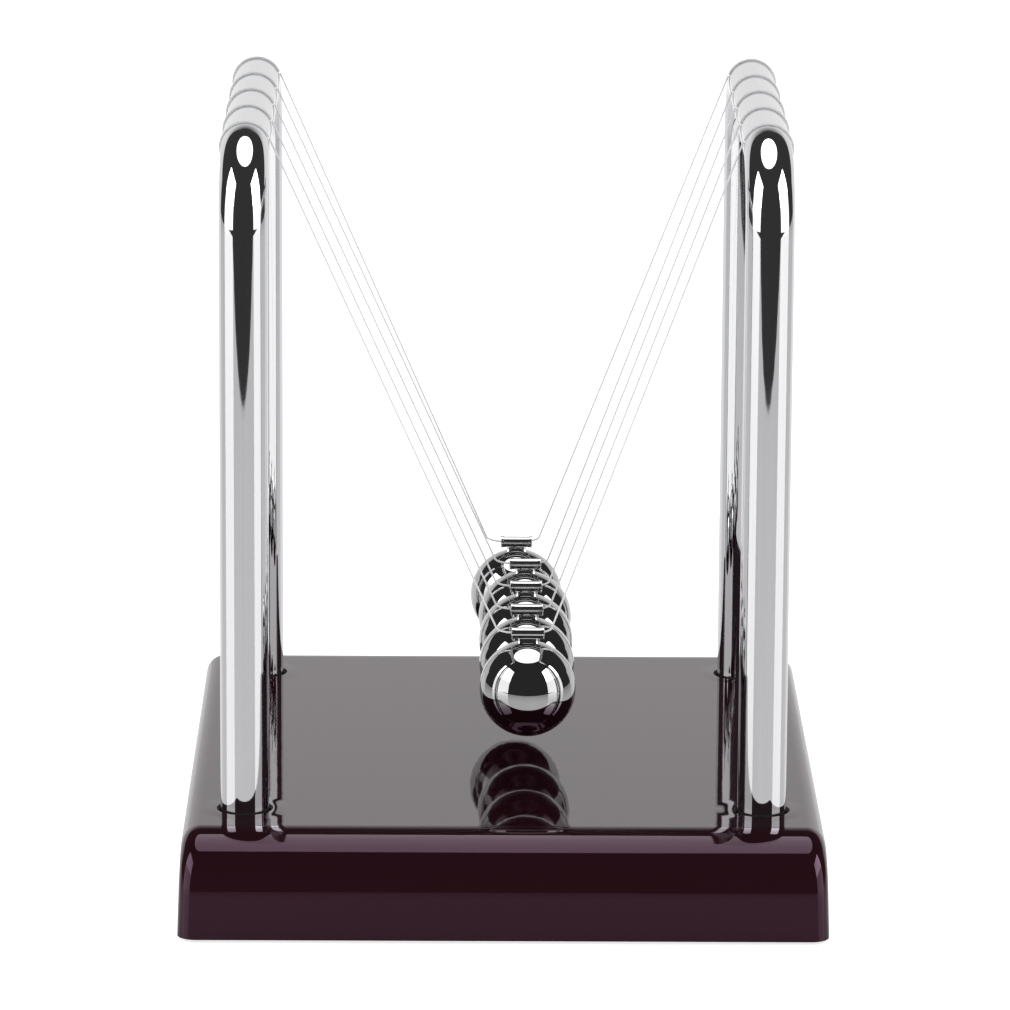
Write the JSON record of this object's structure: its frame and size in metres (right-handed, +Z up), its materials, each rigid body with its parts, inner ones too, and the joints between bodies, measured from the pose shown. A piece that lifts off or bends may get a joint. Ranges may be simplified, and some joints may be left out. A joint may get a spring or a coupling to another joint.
{
  "type": "newtons cradle",
  "caption": "Desk swing-ball set: a row of steel balls, each hung on a V of nylon line from two bent chrome rods standing in a rectangular lacquered base.",
  "frame": {"origin": "centre of the footprint, on the surface that the base stands on", "axes": "+Z up, +X from the left rod to the right rod, +Y along the row of balls from ball_1 to ball_5"},
  "size_m": [0.146, 0.178, 0.1784],
  "materials": {
    "lacquered_wood": "high-gloss dark plum lacquer over board",
    "rubber_pad": "matt black foot pad",
    "chromed_rod": "bright chrome plate",
    "zinc_steel": "zinc-plated steel",
    "polished_steel": "mirror-polished steel",
    "plated_tube": "nickel-plated steel",
    "nylon_line": "clear nylon monofilament"
  },
  "bodies": {
    "frame": {"base": "lacquered_wood", "foot_pads": "rubber_pad", "left_rod": "chromed_rod", "right_rod": "chromed_rod", "leg_screws": "zinc_steel", "leg_washers": "zinc_steel", "left_wrap_1": "nylon_line", "left_wrap_2": "nylon_line", "left_wrap_3": "nylon_line", "left_wrap_4": "nylon_line", "left_wrap_5": "nylon_line", "right_wrap_1": "nylon_line", "right_wrap_2": "nylon_line", "right_wrap_3": "nylon_line", "right_wrap_4": "nylon_line", "right_wrap_5": "nylon_line"},
    "pendulum_1": {"ball_1": "polished_steel", "line_tube_1": "plated_tube", "line_1": "nylon_line"},
    "pendulum_2": {"ball_2": "polished_steel", "line_tube_2": "plated_tube", "line_2": "nylon_line"},
    "pendulum_3": {"ball_3": "polished_steel", "line_tube_3": "plated_tube", "line_3": "nylon_line"},
    "pendulum_4": {"ball_4": "polished_steel", "line_tube_4": "plated_tube", "line_4": "nylon_line"},
    "pendulum_5": {"ball_5": "polished_steel", "line_tube_5": "plated_tube", "line_5": "nylon_line"}
  },
  "joints": [
    {"name": "swing_1", "type": "hinge", "parent": "frame", "child": "pendulum_1", "pos_m": [0.0055, -0.0444, 0.1746], "axis": [1, 0, 0], "range_deg": [-45, 0]},
    {"name": "swing_2", "type": "hinge", "parent": "frame", "child": "pendulum_2", "pos_m": [0.0055, -0.0222, 0.1746], "axis": [1, 0, 0], "range_deg": [-0.05, 0.05]},
    {"name": "swing_3", "type": "hinge", "parent": "frame", "child": "pendulum_3", "pos_m": [0.0055, 0, 0.1746], "axis": [1, 0, 0], "range_deg": [-0.05, 0.05]},
    {"name": "swing_4", "type": "hinge", "parent": "frame", "child": "pendulum_4", "pos_m": [0.0055, 0.0222, 0.1746], "axis": [1, 0, 0], "range_deg": [-0.05, 0.05]},
    {"name": "swing_5", "type": "hinge", "parent": "frame", "child": "pendulum_5", "pos_m": [0.0036, 0.0444, 0.1746], "axis": [1, 0, 0], "range_deg": [0, 45]}
  ]
}
